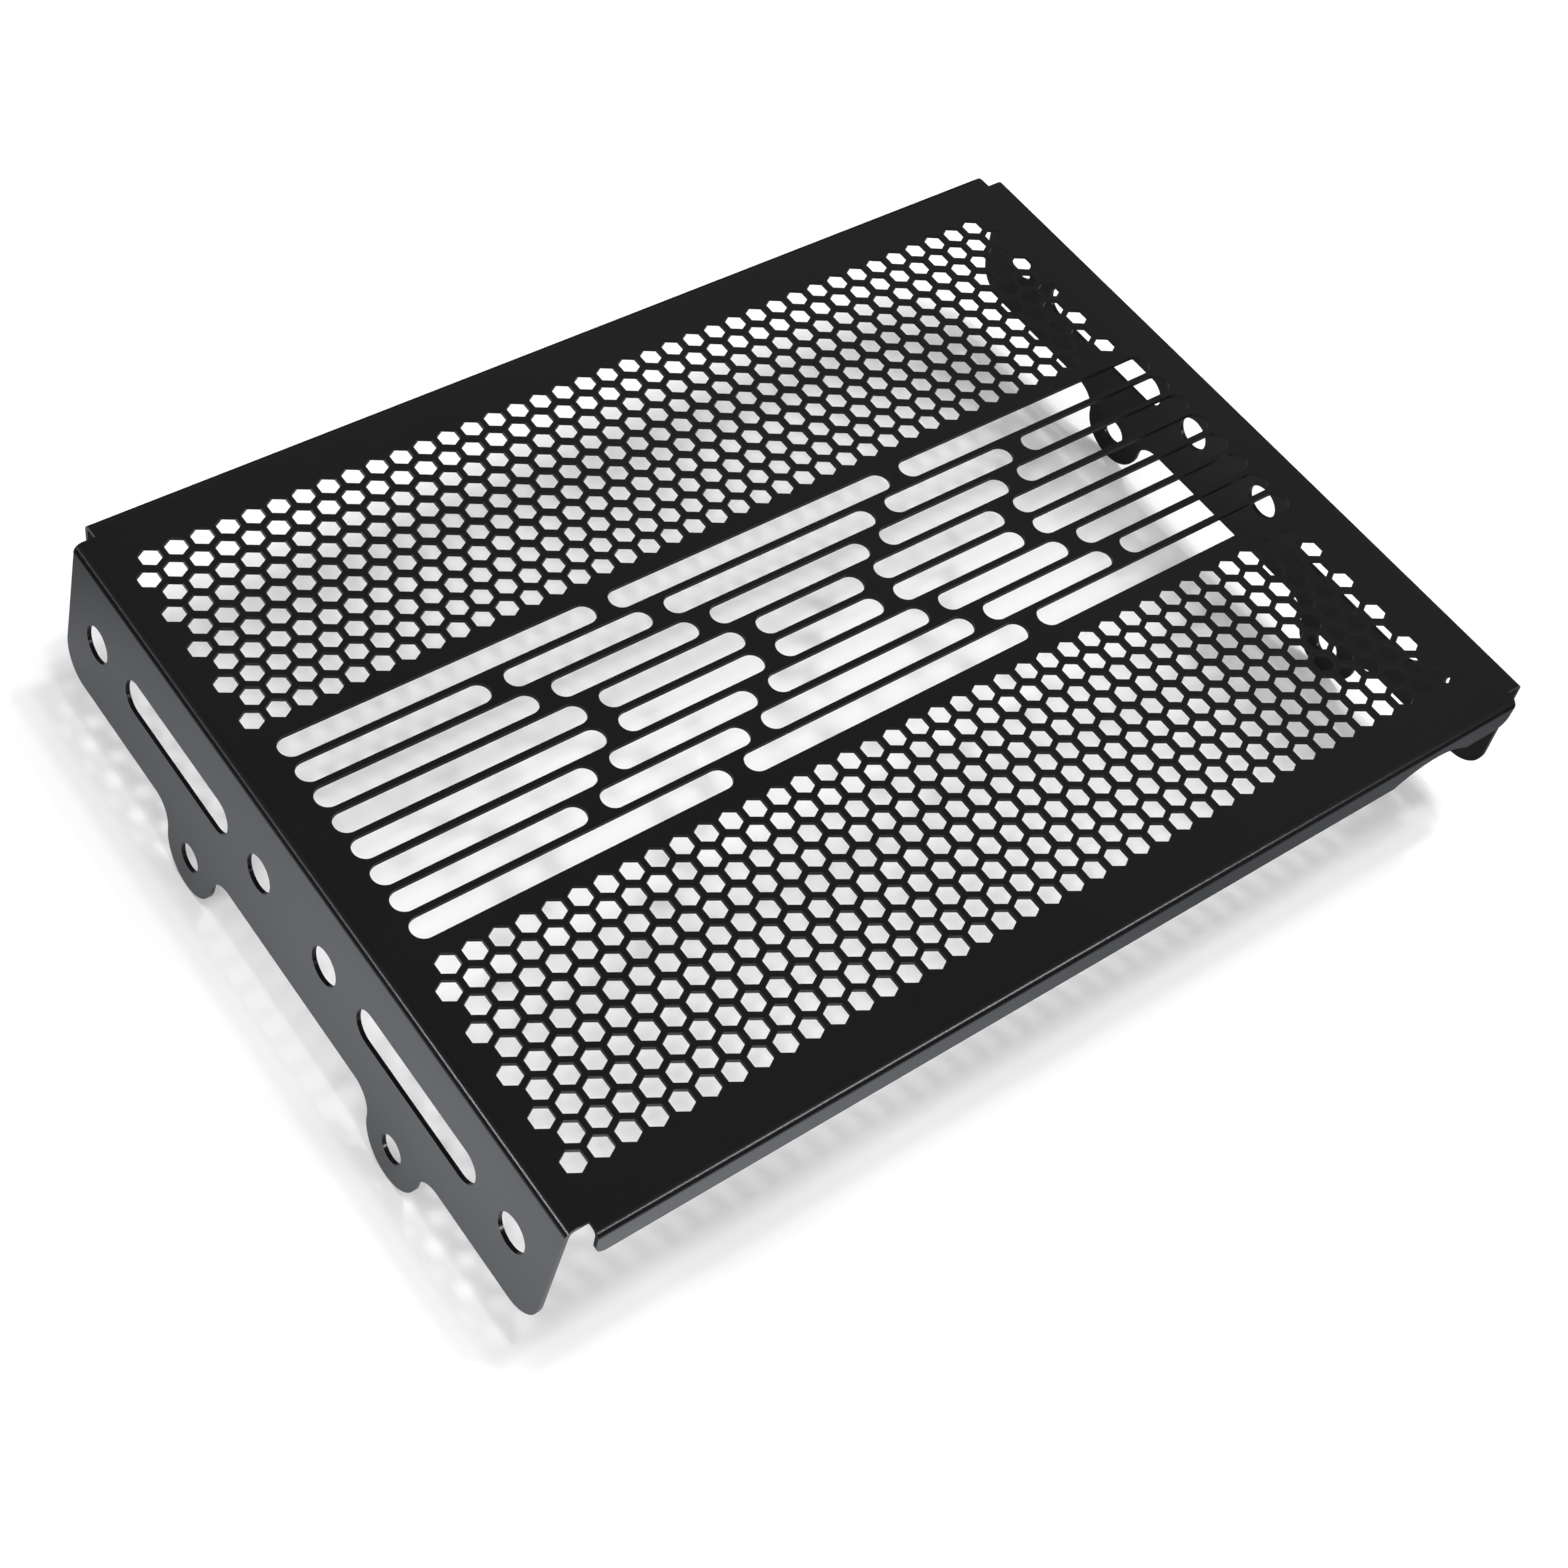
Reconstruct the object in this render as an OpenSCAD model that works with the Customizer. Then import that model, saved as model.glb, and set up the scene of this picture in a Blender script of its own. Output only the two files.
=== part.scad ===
// Motorcycle radiator guard: one laser-cut steel sheet with four bent edges.
// Seen as it lies on its four lugs: X across, Y to the rear edge, Z up, floor at 0.

/* [Sheet] */
// thickness of the sheet
sheet = 1.0; // [0.8:0.1:1.5]
// inner radius of every bend
bend_inner = 1.2; // [0.8:0.1:2]

/* [Face] */
// width of the face over the side bends
face_width = 252; // [216:2:300]
// length of the face over the front and rear bends
face_length = 190; // [176:2:220]

/* [Mesh] */
// distance between two holes of a row
mesh_pitch = 6; // [5.4:0.1:7.2]
// width of the metal left between two holes
mesh_web = 1.35; // [1:0.05:2]
// how far the mesh lies off the middle of the face, to the left
mesh_offset = 3; // [0:0.5:4]
// solid strip at both ends of a row together, measured to the hole pitch
mesh_side = 17.5; // [16:0.5:24]
// solid strip between the outer row and the bend, measured to the hole centres
mesh_rim = 12; // [10:0.5:16]

/* [Middle band] */
// number of slot lines in the band, the two border lines among them
band_lines = 8; // [4:2:8]
// distance between two slot lines
band_pitch = 7; // [6.4:0.1:7.4]
// width of one slot
band_slot = 5.65; // [4:0.05:5.8]
// solid strip left of the first and right of the last slot
band_side = 9.6; // [8:0.1:20]
// metal between the tips of two slots in a line
band_bridge = 3.9; // [2:0.1:6]
// solid strip between the band and the mesh
band_land = 3; // [2:0.5:6]
// half length of the middle slots on the innermost lines
band_heart = 14; // [10:1:24]
// length of the next slots outwards, as a share of half the band
band_share = 0.31; // [0.26:0.01:0.33]
// shift of the slot tips from one line to the next one outwards
band_slant = 7; // [0:0.5:8]

/* [Side walls] */
// angle by which the side walls lean outwards
wall_splay = 6.5; // [0:0.5:12]
// depth of the side walls below the face
wall_depth = 35.3; // [32:0.1:40]
// step from the bend line of the rear lip to the rear end of the side walls
wall_gap_rear = 2.4; // [0.5:0.1:8]
// step from the bend line of the front lip to the front end of the side walls
wall_gap_front = 1; // [0.5:0.1:8]
// radius of the lower wall corners
wall_corner = 8; // [2:0.5:10]
// depth of the line of wall holes and slots below the face
hole_depth = 18.2; // [14:0.1:22]
// diameter of the round wall holes and width of the long wall slots
wall_hole = 8.7; // [6:0.1:10]
// distance of the outer round holes from the ends of the wall
hole_end = 12.1; // [10:0.1:16]
// distance between the two inner round holes
inner_holes = 25; // [20:1:30]
// metal between a round hole and the long slot beside it
hole_land = 7.9; // [4:0.1:12]

/* [Lugs] */
// depth of the lug holes below the face
lug_depth = 40.8; // [40:0.1:44]
// outer radius of a lug
lug_radius = 9.1; // [7:0.1:10]
// diameter of a lug hole
lug_hole = 6.8; // [5:0.1:8]
// radius of the hollow run-out between lug and wall edge
lug_fillet = 6; // [3:0.5:7]
// rear lug, measured to the rear of the face centre
lug_rear = 35.6; // [30:0.2:46]
// front lug, measured to the front of the face centre
lug_front = 44; // [30:0.2:50]

/* [Lips] */
// height of the front and rear lips over all
lip_height = 8.3; // [7:0.1:12]
// distance of the lip ends from the outside of the side bends
lip_inset = 4.8; // [4.5:0.1:8]
// radius of the lower lip corners
lip_corner = 3; // [0.5:0.1:4]
// distance from the end of a lip to the middle of its round recess
recess_end = 23.9; // [20:0.1:60]
// width of the recess along the lower edge of the lip
recess_width = 22.6; // [12:0.2:30]
// depth of the recess
recess_depth = 3.8; // [1:0.1:4.5]

/* [Hidden] */
$fn = 48;
colour = [0.12, 0.12, 0.13];
bend_outer = bend_inner + sheet;
// narrow strip of sheet kept round the outer holes of a mesh field
field_rim = 0.8;
// mesh fields and side walls are this hair smaller on each side than what holds them
skin = 0.01;
// the flat of a side wall reaches this far into its bend
grip = 0.15;
// flat part of the face, between the tangent lines of the bends
wall_set = bend_outer * tan((90 - wall_splay) / 2);
flat_x = round(100 * (face_width / 2 - wall_set)) / 100;
flat_y = face_length / 2 - bend_outer;
lip_x = face_width / 2 - lip_inset;
// side walls and their row of holes, seen from the middle of the face
wall_rear = flat_y - wall_gap_rear;
wall_front = flat_y - wall_gap_front;
wall_mid = (wall_rear - wall_front) / 2;
outer_hole = (wall_rear + wall_front) / 2 - hole_end;
slot_place = (outer_hole + inner_holes / 2) / 2;
wall_slot = outer_hole - inner_holes / 2 - wall_hole - 2 * hole_land;
// height of the top of the face over the floor, on the lowest edge of the lugs
top_z = round(1000 * ((lug_depth + lug_radius) * cos(wall_splay) + sheet * sin(wall_splay))) / 1000;
row_pitch = mesh_pitch * sqrt(3) / 2;
mesh_hole = mesh_pitch - mesh_web;
corner_reach = mesh_hole / sqrt(3);
long_row = floor((face_width - mesh_side) / mesh_pitch);
band_half = (band_lines - 1) / 2 * band_pitch + band_slot / 2;
first_row = ceil((band_half + band_land + corner_reach) / row_pitch - 0.5);
last_row = floor((face_length / 2 - mesh_rim) / row_pitch - 0.5);
band_end = face_width / 2 - band_side;
field_x = (long_row - 1) / 2 * mesh_pitch + mesh_hole / 2 + field_rim;
field_near = (first_row + 0.5) * row_pitch - corner_reach - field_rim;
field_far = (last_row + 0.5) * row_pitch + corner_reach + field_rim;
border_slot = (2 * band_end - 2 * band_bridge) / 3;
// run-out circles of the lugs touch the wall edge and the lug circle
fillet_up = lug_depth - wall_depth - lug_fillet;
fillet_off = sqrt(pow(lug_radius + lug_fillet, 2) - pow(fillet_up, 2));
lug_share = lug_radius / (lug_radius + lug_fillet);
recess_place = lip_x - recess_end;
recess_round = (pow(recess_width / 2, 2) + pow(recess_depth, 2)) / (2 * recess_depth);

// six-sided holes of one row, flats facing each other
module mesh_row(count, y) {
    for (i = [0 : count - 1])
        translate([(i - (count - 1) / 2) * mesh_pitch - mesh_offset, y])
            rotate(30)
                circle(r = corner_reach, $fn = 6);
}

// window of the rear (side = 1) or front (side = -1) mesh field
module mesh_window(side) {
    translate([-field_x - mesh_offset, side > 0 ? field_near : -field_far])
        square([2 * field_x, field_far - field_near]);
}

// one perforated field; both fields share one lattice through the whole face
module mesh_field(side) {
    translate([0, 0, top_z - sheet + skin])
        linear_extrude(sheet - 2 * skin)
            difference() {
                mesh_window(side);
                for (k = [first_row : last_row])
                    mesh_row(
                        long_row - 1 + (side > 0 ? last_row - k : last_row + 1 + k) % 2,
                        side * (k + 0.5) * row_pitch
                    );
            }
}

// slot with round ends from x0 to x1
module slot(x0, x1, width) {
    translate([x0 + width / 2, -width / 2])
        square([x1 - x0 - width, width]);
    translate([x0 + width / 2, 0])
        circle(d = width);
    translate([x1 - width / 2, 0])
        circle(d = width);
}

// border line of the band: three long slots
module border_line() {
    for (i = [-1 : 1])
        translate([i * (border_slot + band_bridge), 0])
            slot(-border_slot / 2, border_slot / 2, band_slot);
}

// inner line of the band: five slots, their tips set out by the slant
module inner_line(step) {
    a = band_heart + step * band_slant;
    b = a + band_bridge;
    c = b + band_share * band_end;
    slot(-a, a, band_slot);
    for (s = [0, 1])
        mirror([s, 0]) {
            slot(b, c, band_slot);
            slot(c + band_bridge, band_end, band_slot);
        }
}

// the whole middle band of slots
module band() {
    for (i = [0 : band_lines / 2 - 1])
        for (s = [-1, 1])
            translate([0, s * (i + 0.5) * band_pitch])
                if (i == band_lines / 2 - 1)
                    border_line();
                else
                    inner_line(i);
}

// flat part of the face round the mesh, with its corner cuts and the band
module face() {
    translate([0, 0, top_z - sheet])
        linear_extrude(sheet)
            difference() {
                union() {
                    translate([-lip_x, -flat_y])
                        square([2 * lip_x, 2 * flat_y]);
                    translate([-flat_x, -wall_front])
                        square([2 * flat_x, wall_front + wall_rear]);
                }
                mesh_window(1);
                mesh_window(-1);
                band();
            }
}

// bend of the given length from y0 on, turned down to the left of the origin
module bend(y0, length, angle) {
    translate([0, y0 + length, -bend_outer])
        rotate([90, 0, 0])
            rotate([0, 0, 90])
                rotate_extrude(angle = angle)
                    translate([bend_inner, 0])
                        square([sheet, length]);
}

// rectangle from the origin down with rounded lower corners
module panel(y0, y1, z0, z1, r) {
    translate([y0, -z1 + r])
        square([y1 - y0, z1 - z0 - r]);
    translate([y0 + r, -z1])
        square([y1 - y0 - 2 * r, r + 0.01]);
    translate([y0 + r, -z1 + r])
        circle(r = r);
    translate([y1 - r, -z1 + r])
        circle(r = r);
}

// lug with hollow run-outs at both sides
module lug() {
    translate([0, -lug_depth])
        circle(r = lug_radius);
    difference() {
        polygon([
            [-fillet_off, -wall_depth + 0.01],
            [-fillet_off, -wall_depth],
            [-fillet_off * lug_share, -lug_depth + fillet_up * lug_share],
            [0, -lug_depth],
            [fillet_off * lug_share, -lug_depth + fillet_up * lug_share],
            [fillet_off, -wall_depth],
            [fillet_off, -wall_depth + 0.01]
        ]);
        for (s = [-1, 1])
            translate([s * fillet_off, -wall_depth - lug_fillet])
                circle(r = lug_fillet);
    }
}

// outline of one side wall with its holes, seen square on, rear end at +x
module wall_shape() {
    difference() {
        union() {
            panel(skin - wall_front, wall_rear - skin, wall_set - grip, wall_depth, wall_corner);
            translate([lug_rear, 0])
                lug();
            translate([-lug_front, 0])
                lug();
        }
        for (s = [-1, 1]) {
            translate([wall_mid + s * outer_hole, -hole_depth])
                circle(d = wall_hole);
            translate([wall_mid + s * inner_holes / 2, -hole_depth])
                circle(d = wall_hole);
            translate([wall_mid + s * slot_place, -hole_depth])
                slot(-wall_slot / 2, wall_slot / 2, wall_hole);
        }
        translate([lug_rear, -lug_depth])
            circle(d = lug_hole);
        translate([-lug_front, -lug_depth])
            circle(d = lug_hole);
    }
}

// left side wall with its bend
module side_wall() {
    translate([-flat_x, 0, top_z])
        bend(-wall_front, wall_front + wall_rear, 90 - wall_splay);
    translate([-flat_x, 0, top_z - bend_outer])
        rotate([0, wall_splay, 0])
            translate([skin - bend_outer, 0, wall_set])
                rotate([90, 0, 90])
                    linear_extrude(sheet - 2 * skin)
                        wall_shape();
}

// round recess in the lower edge of a lip
module recess() {
    translate([0, recess_depth - recess_round - lip_height])
        circle(r = recess_round);
}

// front lip with its bend; the rear lip is the same part turned round
module lip() {
    translate([0, -flat_y, top_z])
        rotate([0, 0, 90])
            bend(-lip_x, 2 * lip_x, 90);
    translate([0, -face_length / 2 + sheet, top_z])
        rotate([90, 0, 0])
            linear_extrude(sheet)
                difference() {
                    panel(-lip_x, lip_x, bend_outer, lip_height, lip_corner);
                    translate([recess_place, 0])
                        recess();
                }
}

// the folded sheet round the mesh
module folded() {
    face();
    side_wall();
    mirror([1, 0, 0])
        side_wall();
    lip();
    rotate([0, 0, 180])
        lip();
}

// the guard: one folded sheet
module guard() {
    color(colour) {
        folded();
        mesh_field(1);
        mesh_field(-1);
    }
}

guard();
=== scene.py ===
"""Looks of the radiator guard: satin black powder coat on one folded sheet, on a white studio floor."""

import bpy
from mathutils import Matrix, Vector


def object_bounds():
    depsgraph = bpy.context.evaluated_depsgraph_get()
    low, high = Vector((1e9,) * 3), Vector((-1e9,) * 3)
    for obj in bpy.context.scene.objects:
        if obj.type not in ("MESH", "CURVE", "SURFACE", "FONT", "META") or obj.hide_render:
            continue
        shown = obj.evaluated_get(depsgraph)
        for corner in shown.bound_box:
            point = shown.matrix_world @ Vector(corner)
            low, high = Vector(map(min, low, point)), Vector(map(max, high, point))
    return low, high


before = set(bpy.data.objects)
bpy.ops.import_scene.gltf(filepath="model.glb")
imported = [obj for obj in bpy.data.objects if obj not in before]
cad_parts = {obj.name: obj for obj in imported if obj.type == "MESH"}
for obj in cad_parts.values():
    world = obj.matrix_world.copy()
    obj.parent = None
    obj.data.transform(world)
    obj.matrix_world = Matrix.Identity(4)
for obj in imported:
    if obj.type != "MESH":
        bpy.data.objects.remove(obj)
cad_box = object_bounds()

# Camera, found from the hexagon lattice of the face. Metres, in the frame's own axes.
CAMERA_AT = (-0.27396, -0.24246, 0.46295)
CAMERA_ROTVEC = (2.43305004, -0.72377657, 0.43993551)
FOCAL_PX = 2600.0
CENTRE_PX = (736.56, 769.33)
IMAGE_PX = 1568.0
SENSOR_MM = 36.0

# Lamps overhead, out of the reflections: one soft one and four small ones, whose light spots fall through the holes.
LAMP_HEIGHT = 1.3
SOFT_AT = (-0.02, -0.16)
SOFT_SIZE = 1.5
SOFT_WATTS = 11
SPOTS_AT = ((0.41, 0.0), (0.24, -0.26), (0.12, -0.10), (-0.10, -0.34))
SPOT_SIZE = 0.08
SPOT_WATTS = 2.5

# Low lamps that the bends mirror as bright lines: name, place, size, target and watts.
LOW_LAMPS = (
    ("left_key", (-1.34, 0.40, 0.47), (0.30, 0.16), (-0.12, -0.05, 0.04), 3.4),
    ("left_fill", (-1.22, 0.83, 0.45), (0.60, 0.16), (-0.12, 0.05, 0.04), 0.8),
    ("front_fill", (0.60, -1.34, 0.48), (0.60, 0.16), (-0.05, -0.09, 0.04), 5.5),
)

# Grey of the studio by the upward part of the direction looked in: dim low down, lightest some 30 degrees up.
STUDIO_LEVELS = ((0.36, 0.07), (0.50, 0.30), (0.88, 0.09))
BACKDROP = 0.93

FLOOR_HALF = 2.5
FLOOR_DROP = 0.0002
FLOOR_WHITE = 0.80
FLOOR_GLOW = 0.22
# The open floor's glow grows with the distance from the guard, up to the backdrop's white.
FADE_FROM = 0.25
FADE_TO = 0.80
FADE_GAIN = 4.0
# Painted reflection: as the coat mirrors it, the floor is painted a little cooler and with its own light and shade.
# Past the half sizes of the footprint it is full up to
# FLOOR_BRIGHT metres and falls to FLOOR_FAR at FLOOR_DIM, a painted darkening away from the guard. Under the guard
# it is FLOOR_UNDER, painted shade with a soft edge.
PAINTED_REFLECTION_COOL = (0.73, 0.76, 0.82)
FOOTPRINT = (0.119, 0.079, 0)
FLOOR_BRIGHT = 0.037
FLOOR_DIM = 0.097
FLOOR_FAR = 0.10
FLOOR_UNDER = 0.38
UNDER_EDGE = 0.012
# A painted pool of light in the mirrored floor makes it brightest to the guard's left: distance from the pool's
# middle and level, close by and far off.
POOL_AT = (-0.20, -0.045, 0)
POOL_NEAR = (0.04, 1.10)
POOL_FAR = (0.27, 0.26)

# Faint change of the coat's colour along the marks: place on the ramp and colour.
COAT_TINTS = ((0.3, (0.0050, 0.0050, 0.0056, 1)), (0.7, (0.0068, 0.0068, 0.0076, 1)))
COAT_SPECULAR = 0.42
COAT_ROUGHNESS = (0.19, 0.24)
GRAIN = {"scale": 2600, "detail": 2, "strength": 0.22, "depth": 0.00004}
PEEL = {"scale": 700, "detail": 1, "strength": 0.12, "depth": 0.00008}
MARKS = {"scale": 14, "detail": 3}


def make_camera():
    """Looks as the photograph's camera does. The turn's rows point right, down and ahead in the picture."""
    turn = Vector(CAMERA_ROTVEC)
    world_to_view = Matrix.Rotation(turn.length, 3, turn.normalized())
    right, down, ahead = (Vector(row) for row in world_to_view)
    pose = Matrix((right, -down, -ahead)).transposed().to_4x4()
    pose.translation = Vector(CAMERA_AT)
    data = bpy.data.cameras.new("camera")
    data.sensor_width = SENSOR_MM
    data.lens = SENSOR_MM * FOCAL_PX / IMAGE_PX
    data.shift_x = (IMAGE_PX / 2 - CENTRE_PX[0]) / IMAGE_PX
    data.shift_y = (CENTRE_PX[1] - IMAGE_PX / 2) / IMAGE_PX
    data.clip_start = 0.01
    data.clip_end = 20
    camera = bpy.data.objects.new("camera", data)
    bpy.context.collection.objects.link(camera)
    camera.matrix_world = pose
    bpy.context.scene.camera = camera


def area_light(name, place, size, target, watts, mirrored=True):
    data = bpy.data.lights.new(name, "AREA")
    data.shape = "RECTANGLE"
    data.size, data.size_y = size
    data.energy = watts
    light = bpy.data.objects.new(name, data)
    bpy.context.collection.objects.link(light)
    light.location = place
    light.visible_glossy = mirrored
    aim = Vector(target) - Vector(place)
    light.rotation_euler = aim.to_track_quat("-Z", "Y").to_euler()


def make_lamps():
    middle = (0, 0, 0)
    soft_place = (*SOFT_AT, LAMP_HEIGHT)
    area_light("overhead", soft_place, (SOFT_SIZE, SOFT_SIZE), middle, SOFT_WATTS, mirrored=False)
    for number, spot_at in enumerate(SPOTS_AT):
        spot_place = (*spot_at, LAMP_HEIGHT)
        area_light(f"spot_{number}", spot_place, (SPOT_SIZE, SPOT_SIZE), middle, SPOT_WATTS, mirrored=False)
    for lamp in LOW_LAMPS:
        area_light(*lamp)


def nodes_of(material):
    material.use_nodes = True
    tree = material.node_tree
    tree.nodes.clear()
    return tree


def add(tree, kind, **values):
    node = tree.nodes.new(kind)
    for key, value in values.items():
        setattr(node, key, value)
    return node


def feed(tree, socket, source):
    """Fills a socket from a (node, output) pair or a plain value."""
    if isinstance(source, tuple) and hasattr(source[0], "outputs"):
        tree.links.new(source[0].outputs[source[1]], socket)
    else:
        socket.default_value = source


def maths(tree, operation, *sources):
    node = add(tree, "ShaderNodeMath", operation=operation)
    for number, source in enumerate(sources):
        feed(tree, node.inputs[number], source)
    return node, 0


def vectors(tree, operation, *sources, output=0):
    node = add(tree, "ShaderNodeVectorMath", operation=operation)
    for number, source in enumerate(sources):
        feed(tree, node.inputs[number], source)
    return node, output


def map_range(tree, source, start, end):
    """Maps a value linearly between two (in, out) pairs, and holds it past them."""
    node = add(tree, "ShaderNodeMapRange")
    feed(tree, node.inputs["Value"], source)
    node.inputs["From Min"].default_value, node.inputs["To Min"].default_value = start
    node.inputs["From Max"].default_value, node.inputs["To Max"].default_value = end
    return node, 0


def noise(tree, coords, scale, detail):
    node = add(tree, "ShaderNodeTexNoise")
    feed(tree, node.inputs["Vector"], coords)
    node.inputs["Scale"].default_value = scale
    node.inputs["Detail"].default_value = detail
    return node, 0


def make_world():
    """A dim studio, as the coat mirrors it. The camera sees a pale backdrop in its place."""
    world = bpy.data.worlds.new("studio")
    bpy.context.scene.world = world
    tree = nodes_of(world)
    coords = add(tree, "ShaderNodeTexCoord")
    split = add(tree, "ShaderNodeSeparateXYZ")
    ramp = add(tree, "ShaderNodeValToRGB")
    stops = ramp.color_ramp.elements
    stops.remove(stops[0])
    for height, _ in STUDIO_LEVELS[:-1]:
        stops.new(height)
    stops[-1].position = STUDIO_LEVELS[-1][0]
    for stop, (_, level) in zip(stops, STUDIO_LEVELS):
        stop.color = (level, level, level, 1)
    path = add(tree, "ShaderNodeLightPath")
    studio = add(tree, "ShaderNodeBackground")
    backdrop = add(tree, "ShaderNodeBackground")
    backdrop.inputs["Color"].default_value = (BACKDROP, BACKDROP, BACKDROP, 1)
    either = add(tree, "ShaderNodeMixShader")
    out = add(tree, "ShaderNodeOutputWorld")
    feed(tree, split.inputs[0], (coords, "Generated"))
    feed(tree, ramp.inputs[0], (split, "Z"))
    feed(tree, studio.inputs["Color"], (ramp, 0))
    feed(tree, either.inputs[0], (path, "Is Camera Ray"))
    feed(tree, either.inputs[1], (studio, 0))
    feed(tree, either.inputs[2], (backdrop, 0))
    feed(tree, out.inputs["Surface"], (either, 0))


def floor_material():
    """Pale floor that keeps the shadow. A glow on top of its diffuse part brings the open floor to white. In the
    coat's reflections the floor shows painted light and shade instead.
    """
    material = bpy.data.materials.new("floor_white")
    tree = nodes_of(material)
    coords = (add(tree, "ShaderNodeTexCoord"), "Object")
    path = add(tree, "ShaderNodeLightPath")
    mirrored = maths(tree, "MAXIMUM", (path, "Is Glossy Ray"), (path, "Is Transmission Ray"))

    # Painted reflection: for mirrored rays the floor is painted darker away from the footprint, and painted with
    # shade under the guard.
    past = vectors(tree, "SUBTRACT", vectors(tree, "ABSOLUTE", coords), FOOTPRINT)
    away = vectors(tree, "LENGTH", vectors(tree, "MAXIMUM", past, (0, 0, 0)), output="Value")
    painted_falloff = map_range(tree, away, (FLOOR_BRIGHT, 1.0), (FLOOR_DIM, FLOOR_FAR))
    # Painted pool of light, seen only in the coat's reflections.
    painted_pool = map_range(tree, vectors(tree, "DISTANCE", coords, POOL_AT, output="Value"), POOL_NEAR, POOL_FAR)
    level = add(tree, "ShaderNodeMix")
    feed(tree, level.inputs[0], map_range(tree, away, (0.0, 0.0), (UNDER_EDGE, 1.0)))
    feed(tree, level.inputs[2], FLOOR_UNDER)
    feed(tree, level.inputs[3], painted_pool)
    # Level of the painted light and shade that the coat mirrors: the painted fall-off times a mix of painted shade
    # under the guard and the painted pool.
    painted_mirror_level = maths(tree, "MULTIPLY", painted_falloff, (level, 0))

    fade = map_range(tree, away, (FADE_FROM, 1.0), (FADE_TO, FADE_GAIN))
    seen = maths(tree, "MULTIPLY", (path, "Is Camera Ray"), fade)
    shown = maths(tree, "ADD", seen, maths(tree, "MULTIPLY", mirrored, painted_mirror_level))

    # Painted cool tint of the floor as the coat mirrors it, scaled by that painted level.
    painted_cool = add(tree, "ShaderNodeVectorMath", operation="SCALE")
    painted_cool.inputs[0].default_value = PAINTED_REFLECTION_COOL
    feed(tree, painted_cool.inputs["Scale"], painted_mirror_level)
    colour = add(tree, "ShaderNodeMix", data_type="RGBA")
    feed(tree, colour.inputs[0], mirrored)
    colour.inputs[6].default_value = (FLOOR_WHITE, FLOOR_WHITE, FLOOR_WHITE, 1)
    feed(tree, colour.inputs[7], (painted_cool, 0))

    surface = add(tree, "ShaderNodeBsdfDiffuse")
    feed(tree, surface.inputs["Color"], (colour, 2))
    glow = add(tree, "ShaderNodeEmission")
    feed(tree, glow.inputs["Strength"], maths(tree, "MULTIPLY", shown, FLOOR_GLOW))
    both = add(tree, "ShaderNodeAddShader")
    feed(tree, both.inputs[0], (surface, 0))
    feed(tree, both.inputs[1], (glow, 0))
    out = add(tree, "ShaderNodeOutputMaterial")
    feed(tree, out.inputs["Surface"], (both, 0))
    return material


def make_floor():
    mesh = bpy.data.meshes.new("floor")
    half = FLOOR_HALF
    corners = [(-half, -half, 0), (half, -half, 0), (half, half, 0), (-half, half, 0)]
    mesh.from_pydata(corners, [], [(0, 1, 2, 3)])
    mesh.materials.append(floor_material())
    floor = bpy.data.objects.new("floor", mesh)
    bpy.context.collection.objects.link(floor)
    floor.location.z = cad_box[0][2] - FLOOR_DROP


def bump(tree, coords, grade, under=None):
    node = add(tree, "ShaderNodeBump")
    node.inputs["Strength"].default_value = grade["strength"]
    node.inputs["Distance"].default_value = grade["depth"]
    feed(tree, node.inputs["Height"], noise(tree, coords, grade["scale"], grade["detail"]))
    if under:
        feed(tree, node.inputs["Normal"], under)
    return node, 0


def powder_coat():
    """Satin black powder coat: a fine orange-peel grain and faint handling marks in the gloss."""
    material = bpy.data.materials.new("powder_coat")
    tree = nodes_of(material)
    coords = (add(tree, "ShaderNodeTexCoord"), "Object")
    marks = noise(tree, coords, MARKS["scale"], MARKS["detail"])
    tint = add(tree, "ShaderNodeValToRGB")
    for stop, (place, colour) in zip(tint.color_ramp.elements, COAT_TINTS):
        stop.position = place
        stop.color = colour
    feed(tree, tint.inputs[0], marks)
    gloss = map_range(tree, marks, (0.0, COAT_ROUGHNESS[0]), (1.0, COAT_ROUGHNESS[1]))
    shader = add(tree, "ShaderNodeBsdfPrincipled")
    shader.inputs["Specular IOR Level"].default_value = COAT_SPECULAR
    feed(tree, shader.inputs["Base Color"], (tint, 0))
    feed(tree, shader.inputs["Roughness"], gloss)
    feed(tree, shader.inputs["Normal"], bump(tree, coords, GRAIN, bump(tree, coords, PEEL)))
    out = add(tree, "ShaderNodeOutputMaterial")
    feed(tree, out.inputs["Surface"], (shader, 0))
    return material


make_camera()
make_world()
make_floor()
make_lamps()

coat = powder_coat()
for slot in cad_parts["guard"].material_slots:
    slot.material = coat

bpy.context.scene.view_settings.view_transform = "Standard"
